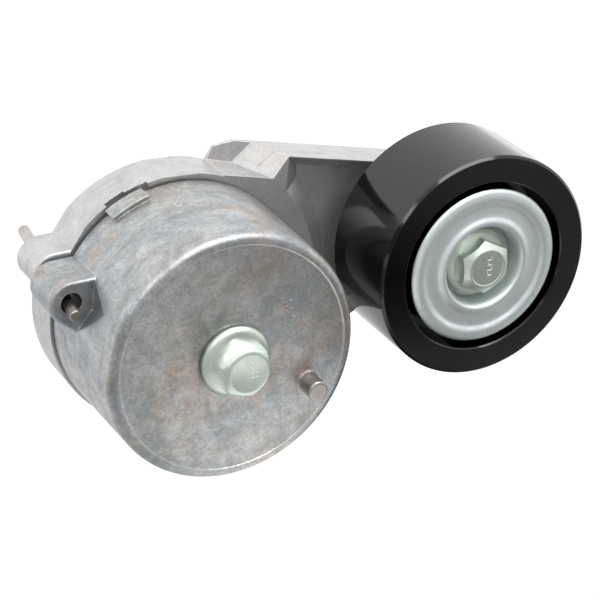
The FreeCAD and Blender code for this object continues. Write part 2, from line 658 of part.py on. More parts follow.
def make_pulley_body():
    c = PULLEY_CHAMFER
    profile = [(RETAINING_LIP, HUB_FRONT), (RECESS_RADIUS, HUB_FRONT), (RECESS_RADIUS, PULLEY_FRONT + 0.5),
               (RECESS_RADIUS + 0.5, PULLEY_FRONT), (PULLEY_RADIUS - c, PULLEY_FRONT),
               (PULLEY_RADIUS, PULLEY_FRONT + c), (PULLEY_RADIUS, PULLEY_BACK - c),
               (PULLEY_RADIUS - c, PULLEY_BACK), (REAR_RECESS, PULLEY_BACK), (REAR_RECESS, HUB_BACK),
               (BEARING_OUTER, HUB_BACK), (BEARING_OUTER, BEARING_FRONT), (RETAINING_LIP, BEARING_FRONT)]
    return turned(profile, (PULLEY_X, PULLEY_Z))


def race_groove(groove_radius):
    """Ring-shaped cutter for the ball track."""
    return Part.makeTorus(PITCH_RADIUS, groove_radius, Vector(PULLEY_X, BEARING_CENTRE, PULLEY_Z),
                          Vector(0, 1, 0))


def make_bearing_outer_ring():
    ring = tube(OUTER_SHOULDER, BEARING_OUTER, BEARING_FRONT, BEARING_BACK, (PULLEY_X, PULLEY_Z))
    return ring.cut(race_groove(BALL_RADIUS + TRACK_CLEARANCE))


def make_bearing_inner_ring():
    ring = tube(BEARING_BORE, INNER_SHOULDER, BEARING_FRONT, BEARING_BACK, (PULLEY_X, PULLEY_Z))
    return ring.cut(race_groove(BALL_RADIUS + TRACK_CLEARANCE))


def ball_places():
    """Centres of the balls."""
    for number in range(BALL_COUNT):
        x, z = polar(PITCH_RADIUS, 360 * number / BALL_COUNT)
        yield Vector(PULLEY_X + x, BEARING_CENTRE, PULLEY_Z + z)


def make_bearing_balls():
    return Part.makeCompound([Part.makeSphere(BALL_RADIUS, place) for place in ball_places()])


def make_bearing_cage():
    front, back = (BEARING_CENTRE + offset for offset in CAGE_ENDS)
    half = CAGE_THICKNESS / 2
    cage = tube(PITCH_RADIUS - half, PITCH_RADIUS + half, front, back, (PULLEY_X, PULLEY_Z))
    for place in ball_places():
        outwards = place - Vector(PULLEY_X, BEARING_CENTRE, PULLEY_Z)
        start = place - outwards * 0.3
        window = Part.makeCylinder(BALL_RADIUS + CAGE_CLEARANCE, 0.6 * PITCH_RADIUS, start, outwards)
        cage = cage.cut(window)
    return cage


def make_bearing_seal(y_start):
    return tube(INNER_SHOULDER + 0.15, OUTER_SHOULDER, y_start, y_start + SEAL_THICKNESS,
                (PULLEY_X, PULLEY_Z))


def smooth_line(points):
    """Smooth curve through (radius, y) points."""
    curve = Part.BSplineCurve()
    curve.interpolate([Vector(radius, y, 0) for radius, y in points])
    return curve


def moved_back(curve, points, thickness):
    """Curve at a distance behind another, through the same number of points."""
    places = []
    for radius, y in points:
        start = Vector(radius, y, 0)
        along = curve.tangent(curve.parameter(start))[0]
        places.append(start + Vector(-along.y, along.x, 0) * thickness)
    back = Part.BSplineCurve()
    back.interpolate(places)
    return back


def pressed_sheet(flat_radius, flat_y, points, thickness):
    """Sheet pressed to a smooth profile, with a flat centre that has a hole for the bolt."""
    front = smooth_line(points)
    back = moved_back(front, points, thickness)
    inner = BOLT_RADIUS + BOLT_CLEARANCE
    front_flat = [Vector(inner, flat_y, 0), Vector(flat_radius, flat_y, 0)]
    back_flat = [place + Vector(0, thickness, 0) for place in front_flat]
    ends = [front.toShape(), back.toShape(),
            Part.makeLine(front.EndPoint, back.EndPoint),
            Part.makePolygon([front.StartPoint, front_flat[1], front_flat[0], back_flat[0], back_flat[1],
                              back.StartPoint])]
    edges = [edge for shape in ends for edge in shape.Edges]
    face = Part.Face(Part.Wire(Part.__sortEdges__(edges)))
    sheet = face.revolve(Vector(0, 0, 0), Vector(0, 1, 0), 360)
    sheet.translate(Vector(PULLEY_X, 0, PULLEY_Z))
    return sheet


def make_front_dust_shield():
    points = [(radius, PULLEY_FRONT + depth) for radius, depth in SHIELD_WAVE]
    return pressed_sheet(SHIELD_FLAT_RADIUS, CUP_FLOOR, points, SHIELD_THICKNESS)


def make_rear_dust_shield():
    points = [(radius, BEARING_BACK + depth) for radius, depth in REAR_SHIELD_WAVE]
    return pressed_sheet(REAR_SHIELD_FLAT_RADIUS, BEARING_BACK, points, SHIELD_THICKNESS)


def make_pulley_spacer():
    head = CUP_FLOOR + SHIELD_THICKNESS
    bore = BOLT_RADIUS + BOLT_CLEARANCE
    profile = [(bore, head), (SPACER_HEAD_RADIUS, head), (SPACER_HEAD_RADIUS, BEARING_FRONT),
               (BEARING_BORE, BEARING_FRONT), (BEARING_BORE, BEARING_BACK), (bore, BEARING_BACK)]
    return turned(profile, (PULLEY_X, PULLEY_Z))


def make_pulley_bolt():
    head = hex_head(PULLEY_HEAD, CUP_FLOOR)
    end = CUP_FLOOR + PULLEY_BOLT_LENGTH
    bolt = head.fuse(threaded_end(BOLT_RADIUS, CUP_FLOOR - 1, end)).removeSplitter()
    bolt.translate(Vector(PULLEY_X, 0, PULLEY_Z))
    return bolt


NODES = {
    "spring_case": make_spring_case,
    "locating_pin": make_locating_pin,
    "mounting_bolt": make_mounting_bolt,
    "pivot_tube": make_pivot_tube,
    "end_plate": make_end_plate,
    "thrust_washer": make_thrust_washer,
    "spring_seat": make_spring_seat,
    "torsion_spring": make_torsion_spring,
    "arm": make_arm,
    "front_bush": make_front_bush,
    "rear_bush": make_rear_bush,
    "damper_shoe": make_damper_shoe,
    "damper_spring": make_damper_spring,
    "dust_seal": make_dust_seal,
    "stop_pin": make_stop_pin,
    "pulley_bolt": make_pulley_bolt,
    "pulley_spacer": make_pulley_spacer,
    "front_dust_shield": make_front_dust_shield,
    "rear_dust_shield": make_rear_dust_shield,
    "bearing_inner_ring": make_bearing_inner_ring,
    "bearing_outer_ring": make_bearing_outer_ring,
    "bearing_balls": make_bearing_balls,
    "bearing_cage": make_bearing_cage,
    "front_bearing_seal": lambda: make_bearing_seal(BEARING_FRONT + SEAL_INSET),
    "rear_bearing_seal": lambda: make_bearing_seal(BEARING_BACK - SEAL_INSET - SEAL_THICKNESS),
    "pulley_body": make_pulley_body,
}

os.makedirs("parts", exist_ok=True)
for name, make in NODES.items():
    shape = make()
    shape.exportStep(os.path.join("parts", name + ".step"))
    print(name, shape.isValid(), len(shape.Solids), round(shape.Volume / 1000, 2))
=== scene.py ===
import math

import bmesh
import bpy
from mathutils import Matrix, Vector
from mathutils.bvhtree import BVHTree


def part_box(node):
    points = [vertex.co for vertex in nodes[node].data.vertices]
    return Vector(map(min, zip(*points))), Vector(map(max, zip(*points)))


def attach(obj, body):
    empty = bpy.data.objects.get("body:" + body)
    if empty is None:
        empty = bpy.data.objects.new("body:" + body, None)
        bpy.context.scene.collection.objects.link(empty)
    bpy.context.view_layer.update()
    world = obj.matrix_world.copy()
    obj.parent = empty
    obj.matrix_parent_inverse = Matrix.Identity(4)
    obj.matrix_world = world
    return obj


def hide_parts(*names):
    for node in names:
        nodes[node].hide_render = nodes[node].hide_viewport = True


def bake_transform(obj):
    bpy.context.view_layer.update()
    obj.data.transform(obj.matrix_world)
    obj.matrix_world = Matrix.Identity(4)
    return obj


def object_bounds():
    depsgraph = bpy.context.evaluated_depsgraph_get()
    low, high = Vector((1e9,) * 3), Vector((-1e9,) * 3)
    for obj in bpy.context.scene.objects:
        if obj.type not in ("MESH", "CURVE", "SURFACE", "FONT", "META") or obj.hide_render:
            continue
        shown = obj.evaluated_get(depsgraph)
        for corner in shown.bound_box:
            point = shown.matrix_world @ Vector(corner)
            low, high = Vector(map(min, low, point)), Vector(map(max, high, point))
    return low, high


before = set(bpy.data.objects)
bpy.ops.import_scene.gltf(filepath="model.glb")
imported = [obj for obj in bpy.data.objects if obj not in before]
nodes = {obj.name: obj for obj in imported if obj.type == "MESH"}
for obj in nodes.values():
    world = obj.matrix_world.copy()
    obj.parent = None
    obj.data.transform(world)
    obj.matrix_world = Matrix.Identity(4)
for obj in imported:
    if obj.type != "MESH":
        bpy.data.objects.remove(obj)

cad_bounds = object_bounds()
MM = 0.001


def srgb(red, green, blue):
    """Linear colour from 0..255 display values."""
    def linear(value):
        value /= 255.0
        return value / 12.92 if value <= 0.04045 else ((value + 0.055) / 1.055) ** 2.4
    return (linear(red), linear(green), linear(blue), 1.0)


# ---------------------------------------------------------------- node helpers

EDGE_FLAT = 0.995
EDGE_SHARP = 0.93
ROUNDING_SAMPLES = 4


class Tree:
    """Small builder for a node tree that starts empty."""

    def __init__(self, owner):
        owner.use_nodes = True
        self.tree = owner.node_tree
        self.tree.nodes.clear()

    def add(self, kind, **settings):
        node = self.tree.nodes.new(kind)
        for key, value in settings.items():
            setattr(node, key, value)
        return node

    def link(self, source, target):
        self.tree.links.new(source, target)

    def put(self, target, value):
        """Link a socket, or set a plain value."""
        if isinstance(value, bpy.types.NodeSocket):
            self.link(value, target)
        else:
            target.default_value = value

    def level(self, value, low, high, low_out, high_out, interpolation="LINEAR"):
        """A value taken from low..high to low_out..high_out."""
        node = self.add("ShaderNodeMapRange", interpolation_type=interpolation)
        self.put(node.inputs["Value"], value)
        node.inputs["From Min"].default_value = low
        node.inputs["From Max"].default_value = high
        self.put(node.inputs["To Min"], low_out)
        node.inputs["To Max"].default_value = high_out
        return node.outputs["Result"]

    def math(self, operation, first, second):
        node = self.add("ShaderNodeMath", operation=operation)
        self.put(node.inputs[0], first)
        self.put(node.inputs[1], second)
        return node.outputs[0]

    def mix_shaders(self, factor, first, second):
        node = self.add("ShaderNodeMixShader")
        self.put(node.inputs["Fac"], factor)
        self.link(first, node.inputs[1])
        self.link(second, node.inputs[2])
        return node.outputs[0]


class Graph(Tree):
    """Builder for one material on the principled shader."""

    def __init__(self, name):
        self.material = bpy.data.materials.new(name)
        super().__init__(self.material)
        output = self.add("ShaderNodeOutputMaterial")
        self.shader = self.add("ShaderNodeBsdfPrincipled")
        self.link(self.shader.outputs["BSDF"], output.inputs["Surface"])
        self.place = self.add("ShaderNodeTexCoord").outputs["Object"]

    def stretch(self, scale, rotation=(0.0, 0.0, 0.0), centre=(0.0, 0.0, 0.0)):
        """Object coordinates scaled and turned, or scaled about a centre."""
        mapping = self.add("ShaderNodeMapping")
        self.link(self.place, mapping.inputs["Vector"])
        mapping.inputs["Location"].default_value = [-c * s for c, s in zip(centre, scale)]
        mapping.inputs["Scale"].default_value = scale
        mapping.inputs["Rotation"].default_value = rotation
        return mapping.outputs["Vector"]

    def noise(self, scale, detail, roughness=0.55, vector=None, distortion=0.0, seed=0.0):
        node = self.add("ShaderNodeTexNoise", noise_dimensions="4D")
        self.link(vector or self.place, node.inputs["Vector"])
        node.inputs["Scale"].default_value = scale
        node.inputs["Detail"].default_value = detail
        node.inputs["Roughness"].default_value = roughness
        node.inputs["Distortion"].default_value = distortion
        node.inputs["W"].default_value = seed
        return node.outputs["Fac"]

    def mix(self, factor, first, second):
        """A colour part of the way from the first to the second."""
        node = self.add("ShaderNodeMix", data_type="RGBA")
        self.put(node.inputs[0], factor)
        self.put(node.inputs[6], first)
        self.put(node.inputs[7], second)
        return node.outputs[2]

    def rounding(self, radius):
        """The normal as if edges were rounded by a radius."""
        bevel = self.add("ShaderNodeBevel", samples=ROUNDING_SAMPLES)
        bevel.inputs["Radius"].default_value = radius
        return bevel.outputs["Normal"]

    # Edge mask that carries both edge abrasion and the painted edge highlight.
    def edge_wear_and_highlight_mask(self, radius):
        """1 at edges and 0 elsewhere, from how far the rounded normal turns away."""
        normal = self.add("ShaderNodeNewGeometry").outputs["Normal"]
        dot = self.add("ShaderNodeVectorMath", operation="DOT_PRODUCT")
        self.link(self.rounding(radius), dot.inputs[0])
        self.link(normal, dot.inputs[1])
        return self.level(dot.outputs["Value"], EDGE_FLAT, EDGE_SHARP, 0.0, 1.0)

    def bump(self, height, distance, strength, under):
        node = self.add("ShaderNodeBump")
        node.inputs["Distance"].default_value = distance
        node.inputs["Strength"].default_value = strength
        self.link(height, node.inputs["Height"])
        self.link(under, node.inputs["Normal"])
        return node.outputs["Normal"]

    def done(self, colour, roughness, normal, metallic=0.0, **sockets):
        self.put(self.shader.inputs["Base Color"], colour)
        self.put(self.shader.inputs["Roughness"], roughness)
        self.shader.inputs["Metallic"].default_value = metallic
        self.link(normal, self.shader.inputs["Normal"])
        for name, value in sockets.items():
            self.shader.inputs[name.replace("_", " ")].default_value = value
        return self.material


# ---------------------------------------------------------------- materials

PALE_CAST = srgb(206, 206, 205)
# Lighter edge colour: partly bare metal where the edges are rubbed, partly a painted highlight along them.
WORN_AND_HIGHLIGHT_EDGE = srgb(232, 230, 228)
CAST_EDGE = 0.35 * MM
PLATED_EDGE = 0.14 * MM
STEEL_EDGE = 0.15 * MM
MOULDED_EDGE = 0.2 * MM
GLOSSY_EDGE = 0.3 * MM
STEEL_LINES = (30.0, 900.0, 30.0)


def cast_metal(name, body, cool, warm, dark, roughness, seed, tint, mottle, wear_and_highlight=1.0):
    """Die-cast aluminium: cloudy cool and warm stains, flow marks, pores, and edges painted lighter, partly
    for real abrasion and partly as a painted highlight.
    """
    g = Graph(name)
    cloud = g.noise(30.0, 5.0, 0.6, distortion=0.8, seed=seed)
    second = g.noise(40.0, 5.0, 0.6, distortion=1.2, seed=seed + 3.7)
    blotch = g.noise(170.0, 6.0, 0.7, distortion=0.6, seed=seed + 8.1)
    streaks = g.stretch((70.0, 260.0, 70.0), rotation=(0.2, 0.0, 0.5))
    flow = g.noise(1.0, 6.0, 0.65, vector=streaks, seed=seed)
    fine = g.noise(900.0, 3.0, 0.6, seed=seed)
    colour = g.mix(g.level(cloud, 0.44, 0.62, 0.0, tint), body, cool)
    colour = g.mix(g.level(second, 0.50, 0.66, 0.0, tint), colour, warm)
    colour = g.mix(g.level(flow, 0.48, 0.68, 0.0, mottle), colour, dark)
    colour = g.mix(g.level(blotch, 0.44, 0.68, 0.0, mottle), colour, dark)
    colour = g.mix(g.level(fine, 0.42, 0.66, 0.0, 0.9 * mottle), colour, dark)
    colour = g.mix(g.level(blotch, 0.46, 0.34, 0.0, 0.6 * mottle), colour, PALE_CAST)
    patches = g.level(g.noise(160.0, 3.0, seed=seed), 0.3, 0.6, 0.4 * wear_and_highlight, wear_and_highlight)
    # Edges painted lighter in patches: partly real abrasion, partly a painted highlight along the edges.
    worn_and_highlight = g.math("MULTIPLY", g.edge_wear_and_highlight_mask(CAST_EDGE), patches)
    colour = g.mix(worn_and_highlight, colour, WORN_AND_HIGHLIGHT_EDGE)
    rough = g.math("ADD", g.level(cloud, 0.3, 0.7, roughness - 0.04, roughness + 0.06),
                   g.level(blotch, 0.3, 0.7, -0.04, 0.06))
    height = g.math("ADD", g.math("MULTIPLY", fine, 0.5), g.math("MULTIPLY", blotch, 0.9))
    normal = g.bump(height, 0.12 * MM, 0.8, g.rounding(CAST_EDGE))
    return g.done(colour, rough, normal, metallic=1.0)


def zinc(name, body, shade, stain, roughness, seed, brushed=None):
    """Pale passivated zinc plate with faint blotches, and turned rings where it is brushed."""
    g = Graph(name)
    cloud = g.noise(150.0, 4.0, 0.6, seed=seed)
    fine = g.noise(1600.0, 3.0, 0.6, seed=seed)
    colour = g.mix(g.level(cloud, 0.42, 0.70, 0.0, 0.7), body, shade)
    speck = g.noise(420.0, 5.0, 0.7, seed=seed + 1.5)
    colour = g.mix(g.level(speck, 0.62, 0.74, 0.0, 0.55), colour, stain)
    rough = g.level(cloud, 0.3, 0.7, roughness - 0.04, roughness + 0.10)
    height = g.math("MULTIPLY", fine, 0.5)
    if brushed is not None:
        rings = g.add("ShaderNodeTexWave", wave_type="RINGS", rings_direction="Y", wave_profile="SIN")
        g.link(g.stretch((1.0, 1.0, 1.0), centre=brushed), rings.inputs["Vector"])
        rings.inputs["Scale"].default_value = 700.0
        rings.inputs["Distortion"].default_value = 6.0
        rings.inputs["Detail"].default_value = 3.0
        height = g.math("ADD", height, g.math("MULTIPLY", rings.outputs["Fac"], 0.25))
    normal = g.bump(height, 0.03 * MM, 0.5, g.rounding(PLATED_EDGE))
    return g.done(colour, rough, normal, metallic=1.0)


def steel(name, body, shade, roughness, seed):
    """Bare or oiled steel with drawn or ground lines."""
    g = Graph(name)
    grain = g.noise(1.0, 5.0, 0.6, vector=g.stretch(STEEL_LINES), seed=seed)
    cloud = g.noise(120.0, 4.0, 0.6, seed=seed)
    colour = g.mix(g.level(cloud, 0.40, 0.68, 0.0, 0.8), body, shade)
    colour = g.mix(g.level(grain, 0.45, 0.7, 0.0, 0.4), colour, shade)
    rough = g.level(grain, 0.3, 0.7, roughness - 0.05, roughness + 0.1)
    normal = g.bump(grain, 0.03 * MM, 0.6, g.rounding(STEEL_EDGE))
    return g.done(colour, rough, normal, metallic=1.0)


def gloss_black(name, seed):
    """Glossy black moulded phenolic plastic with a trace of orange peel, dust and fine rub marks."""
    g = Graph(name)
    peel = g.noise(420.0, 2.0, 0.5, seed=seed)
    dust = g.noise(2600.0, 3.0, 0.6, seed=seed)
    rub = g.noise(60.0, 5.0, 0.65, distortion=0.5, seed=seed)
    colour = g.mix(g.level(rub, 0.45, 0.75, 0.0, 1.0), srgb(2, 2, 2), srgb(4, 3, 3))
    colour = g.mix(g.level(dust, 0.70, 0.80, 0.0, 0.5), colour, srgb(34, 34, 35))
    rough = g.math("ADD", g.level(rub, 0.35, 0.7, 0.09, 0.15), g.level(dust, 0.6, 0.8, 0.0, 0.12))
    normal = g.bump(peel, 0.02 * MM, 0.35, g.rounding(GLOSSY_EDGE))
    return g.done(colour, rough, normal, IOR=1.5)


def plastic(name, body, shade, roughness, seed):
    """Matte moulded plastic."""
    g = Graph(name)
    grain = g.noise(900.0, 3.0, 0.6, seed=seed)
    cloud = g.noise(90.0, 4.0, 0.6, seed=seed)
    colour = g.mix(g.level(cloud, 0.35, 0.7, 0.0, 1.0), body, shade)
    rough = g.level(grain, 0.3, 0.7, roughness - 0.06, roughness + 0.08)
    normal = g.bump(grain, 0.04 * MM, 0.8, g.rounding(MOULDED_EDGE))
    return g.done(colour, rough, normal)


def paint(material, *names):
    """Give CAD nodes a material."""
    for name in names:
        mesh = nodes[name].data
        mesh.materials.clear()
        mesh.materials.append(material)


PULLEY_AXIS = tuple((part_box("pulley_body")[0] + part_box("pulley_body")[1]) / 2)

case_metal = cast_metal("case_cast_aluminium", srgb(186, 186, 185), cool=srgb(164, 171, 184),
                        warm=srgb(190, 170, 158), dark=srgb(122, 125, 119), roughness=0.40, seed=1.0,
                        tint=0.75, mottle=0.5)
# The arm's last setting is how strongly its edges are painted lighter, for abrasion and a painted
# highlight.
arm_metal = cast_metal("arm_cast_aluminium", srgb(198, 197, 196), cool=srgb(180, 184, 191),
                       warm=srgb(198, 188, 180), dark=srgb(148, 147, 147), roughness=0.48, seed=7.0,
                       tint=0.4, mottle=0.28, wear_and_highlight=0.35)
bolt_zinc = zinc("bolt_zinc_plate", srgb(210, 218, 208), srgb(186, 200, 190), srgb(112, 122, 114),
                 0.38, 2.0)
shield_zinc = zinc("shield_zinc_plate", srgb(222, 229, 228), srgb(198, 208, 208), srgb(126, 136, 136),
                   0.47, 5.0, brushed=PULLEY_AXIS)
plain_zinc = zinc("plate_zinc", srgb(198, 203, 200), srgb(176, 182, 180), srgb(130, 134, 130), 0.32, 9.0)
pin_metal = steel("pin_steel", srgb(186, 180, 174), srgb(150, 142, 136), 0.32, 3.0)
spring_metal = steel("spring_steel", srgb(96, 98, 104), srgb(66, 68, 74), 0.34, 4.0)
race_metal = steel("bearing_steel", srgb(214, 216, 220), srgb(190, 192, 198), 0.12, 6.0)
cage_metal = steel("cage_steel", srgb(176, 172, 160), srgb(150, 146, 136), 0.3, 8.0)
pulley_black = gloss_black("pulley_phenolic", 1.0)
bush_plastic = plastic("bush_plastic", srgb(62, 60, 56), srgb(50, 49, 46), 0.55, 1.0)
friction_plastic = plastic("friction_plastic", srgb(96, 84, 66), srgb(80, 70, 56), 0.6, 2.0)
seal_rubber = plastic("seal_rubber", srgb(26, 26, 27), srgb(36, 35, 35), 0.72, 3.0)

paint(case_metal, "spring_case")
paint(arm_metal, "arm")
paint(bolt_zinc, "mounting_bolt", "pulley_bolt")
paint(shield_zinc, "front_dust_shield", "rear_dust_shield")
paint(plain_zinc, "end_plate", "pulley_spacer")
paint(pin_metal, "locating_pin", "stop_pin", "pivot_tube")
paint(spring_metal, "torsion_spring", "damper_spring")
paint(race_metal, "bearing_inner_ring", "bearing_outer_ring", "bearing_balls")
paint(cage_metal, "bearing_cage")
paint(pulley_black, "pulley_body")
paint(bush_plastic, "front_bush", "rear_bush", "thrust_washer", "spring_seat")
paint(friction_plastic, "damper_shoe")
paint(seal_rubber, "dust_seal", "front_bearing_seal", "rear_bearing_seal")


# ---------------------------------------------------------------- added pieces

BOLT_CREST = 4.9 * MM
BOLT_ROOT = 4.08 * MM
BOLT_RELIEF = 4.2 * MM
BOLT_THREAD_START = -0.1 * MM
BOLT_THREAD_END = 24.6 * MM
BOLT_CHAMFER = 1.2 * MM
BOLT_PITCH = 1.5 * MM
THREAD_PHASES = ((0.0, 0.0), (0.25, 0.0), (0.5625, 1.0), (0.6875, 1.0))
THREAD_STEPS = 64
THREAD_SPARE_TURNS = 2
MERGE_WITHIN = 0.002 * MM
DISSOLVE_WITHIN = 0.001 * MM
CREASE = 35.0
MOUNTING_HEAD_FACE = -76.65 * MM
PULLEY_HEAD_FACE = -57.75 * MM
CAN_FACE = -65.65 * MM
PARTING_LINE_Y = -13.2 * MM


def finished(name, bm, material, body):
    """Object from a bmesh that rides on a body, smooth except at creases."""
    mesh = bpy.data.meshes.new(name)
    bmesh.ops.recalc_face_normals(bm, faces=bm.faces)
    bm.to_mesh(mesh)
    bm.free()
    for polygon in mesh.polygons:
        polygon.use_smooth = True
    mesh.set_sharp_from_angle(angle=math.radians(CREASE))
    mesh.materials.append(material)
    obj = bpy.data.objects.new(name, mesh)
    bpy.context.scene.collection.objects.link(obj)
    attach(obj, body)
    return obj


def thread_point(turn, along, height):
    """Point of the thread at a part of a turn and a distance along, for a height between root and crest."""
    y = min(max(along + BOLT_PITCH * turn, BOLT_THREAD_START), BOLT_THREAD_END)
    run_in = min(max(y / BOLT_PITCH, 0.0), 1.0)
    limit = min(BOLT_RELIEF + (BOLT_CREST - BOLT_RELIEF) * run_in,
                BOLT_CREST - max(0.0, y - (BOLT_THREAD_END - BOLT_CHAMFER)))
    radius = min(BOLT_ROOT + (BOLT_CREST - BOLT_ROOT) * height, limit)
    if y <= BOLT_THREAD_START:
        radius = BOLT_RELIEF
    angle = 2 * math.pi * turn
    return (radius * math.cos(angle), y, radius * math.sin(angle))


def add_thread(bm):
    """Helical thread along the pivot axis behind the relief of the mounting bolt."""
    turns = math.ceil((BOLT_THREAD_END - BOLT_THREAD_START) / BOLT_PITCH) + THREAD_SPARE_TURNS
    rows = [(BOLT_PITCH * (turn + phase), height)
            for turn in range(-THREAD_SPARE_TURNS, turns) for phase, height in THREAD_PHASES]
    grid = [[bm.verts.new(thread_point(step / THREAD_STEPS, along, height)) for along, height in rows]
            for step in range(THREAD_STEPS)]
    for step in range(THREAD_STEPS):
        last = step == THREAD_STEPS - 1
        here = grid[step]
        following = grid[0] if last else grid[step + 1]
        shift = len(THREAD_PHASES) if last else 0
        for row in range(len(rows) - 1 - shift):
            bm.faces.new((here[row], here[row + 1], following[row + 1 + shift], following[row + shift]))


def bolt_with_thread():
    """The mounting bolt with its plain thread cylinder cut off and a real thread in its place."""
    source = nodes["mounting_bolt"]
    bm = bmesh.new()
    bm.from_mesh(source.data)
    bm.transform(source.matrix_world)
    bmesh.ops.remove_doubles(bm, verts=bm.verts, dist=MERGE_WITHIN)
    geometry = bm.verts[:] + bm.edges[:] + bm.faces[:]
    bmesh.ops.bisect_plane(bm, geom=geometry, plane_co=(0.0, BOLT_THREAD_START, 0.0),
                           plane_no=(0.0, 1.0, 0.0), clear_outer=True)
    add_thread(bm)
    bmesh.ops.remove_doubles(bm, verts=bm.verts, dist=MERGE_WITHIN)
    bmesh.ops.dissolve_degenerate(bm, edges=bm.edges, dist=DISSOLVE_WITHIN)
    bmesh.ops.holes_fill(bm, edges=[edge for edge in bm.edges if edge.is_boundary], sides=0)
    bolt = finished("mounting_bolt_threaded", bm, bolt_zinc, "case")
    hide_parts("mounting_bolt")


MOUND_SEGMENTS = 14
MOUND_RINGS = 4


def mound_point(centre, half, ring, segment):
    """Point of a mound on one of its rings, which climb from its foot towards its top."""
    rise = math.pi / 2 * ring / MOUND_RINGS
    turn = 2 * math.pi * segment / MOUND_SEGMENTS
    return (centre[0] + half[0] * math.cos(rise) * math.cos(turn),
            centre[1] - half[1] * math.sin(rise),
            centre[2] + half[2] * math.cos(rise) * math.sin(turn))


def add_mound(bm, centre, half):
    """Low rounded mound on a face that looks towards -Y: half sizes across, out of the face, and up."""
    loops = [[bm.verts.new(mound_point(centre, half, ring, segment)) for segment in range(MOUND_SEGMENTS)]
             for ring in range(MOUND_RINGS)]
    top = bm.verts.new((centre[0], centre[1] - half[1], centre[2]))
    for lower, upper in zip(loops, loops[1:]):
        for segment in range(MOUND_SEGMENTS):
            after = (segment + 1) % MOUND_SEGMENTS
            bm.faces.new((lower[segment], lower[after], upper[after], upper[segment]))
    for segment in range(MOUND_SEGMENTS):
        bm.faces.new((loops[-1][segment], loops[-1][(segment + 1) % MOUND_SEGMENTS], top))
    bm.faces.new(loops[0])


MARK_RISE = 0.22 * MM
MARK_SPACING = 1.9 * MM
MOUNTING_MARK_ROWS = 3
MOUNTING_MARK_COLUMNS = 2
MOUNTING_MARK_START = (0.7 * MM, 2.1 * MM)
MOUNTING_COLUMN_SPACING = 1.7 * MM
MOUNTING_ROW_LEAN = 0.3 * MM
MOUNTING_BAR = (0.62 * MM, MARK_RISE, 0.30 * MM)
MOUNTING_STEM = (0.28 * MM, MARK_RISE, 0.42 * MM)
MOUNTING_STEM_LIFT = 0.75 * MM
PULLEY_MARK_ROWS = 4
PULLEY_MARK_START = (1.0 * MM, -1.4 * MARK_SPACING)
PULLEY_BAR = (1.1 * MM, MARK_RISE, 0.30 * MM)
PULLEY_STEM = (0.28 * MM, MARK_RISE, 0.45 * MM)
PULLEY_STEM_SIDE = 0.75 * MM
PULLEY_STEM_LIFT = 0.7 * MM


def mounting_head_marks():
    """Two short columns of raised marks on the mounting bolt's head, each mark a bar with a stem."""
    bm = bmesh.new()
    for row in range(MOUNTING_MARK_ROWS):
        for column in range(MOUNTING_MARK_COLUMNS):
            x = MOUNTING_MARK_START[0] + MOUNTING_COLUMN_SPACING * column + MOUNTING_ROW_LEAN * row
            z = MOUNTING_MARK_START[1] - MARK_SPACING * row
            add_mound(bm, (x, MOUNTING_HEAD_FACE, z), MOUNTING_BAR)
            add_mound(bm, (x, MOUNTING_HEAD_FACE, z + MOUNTING_STEM_LIFT), MOUNTING_STEM)
    finished("mounting_head_marks", bm, bolt_zinc, "case")


def pulley_head_marks():
    """A column of four raised marks on the pulley bolt's head, with stems on alternate sides."""
    bm = bmesh.new()
    for row in range(PULLEY_MARK_ROWS):
        x = PULLEY_AXIS[0] + PULLEY_MARK_START[0]
        z = PULLEY_AXIS[2] + PULLEY_MARK_START[1] + MARK_SPACING * row
        side = PULLEY_STEM_SIDE if row % 2 else -PULLEY_STEM_SIDE
        add_mound(bm, (x, PULLEY_HEAD_FACE, z), PULLEY_BAR)
        add_mound(bm, (x + side, PULLEY_HEAD_FACE, z + PULLEY_STEM_LIFT), PULLEY_STEM)
    finished("pulley_head_marks", bm, bolt_zinc, "swing_arm")


SCRATCH_COUNT = 16
SCRATCH_START = (15.8 * MM, 18.6 * MM)
SCRATCH_COLUMN = 2.4 * MM
SCRATCH_DROP = 1.0 * MM
SCRATCH_SCATTER = 0.9 * MM
SCRATCH_DIRECTION = (0.806, -0.592)
SCRATCH_HALF = 0.75 * MM
SCRATCH_HALF_MORE = 0.35 * MM
SCRATCH_WIDE = 0.10 * MM
SCRATCH_WIDE_STEP = 0.04 * MM
SCRATCH_BURR = 0.06 * MM


def scratches():
    """Short parallel scratches on the closed front of the case, each with a raised burr."""
    bm = bmesh.new()
    across, up = SCRATCH_DIRECTION
    for number in range(SCRATCH_COUNT):
        scatter = SCRATCH_SCATTER * math.sin(5 * number)
        x = SCRATCH_START[0] + SCRATCH_COLUMN * (number % 3) + scatter
        z = SCRATCH_START[1] - SCRATCH_DROP * number
        half = SCRATCH_HALF + SCRATCH_HALF_MORE * ((number * 5) % 4) / 3
        wide = SCRATCH_WIDE + SCRATCH_WIDE_STEP * (number % 3)
        outline = ((-half, 0.0), (0.2 * half, -wide), (half, 0.0), (0.1 * half, wide))
        foot = [bm.verts.new((x + along * across - side * up, CAN_FACE, z + along * up + side * across))
                for along, side in outline]
        crown = bm.verts.new((x, CAN_FACE - SCRATCH_BURR, z))
        for first, second in zip(foot, foot[1:] + foot[:1]):
            bm.faces.new((first, second, crown))
        bm.faces.new(foot)
    finished("front_scratches", bm, bright_scratch, "case")


DASH_PLACES = ((-5.5 * MM, -37.65 * MM, 43.3 * MM), (6.5 * MM, -46.5 * MM, 43.0 * MM))
DASH_HALF = (1.15 * MM, 0.3 * MM, 0.28 * MM)


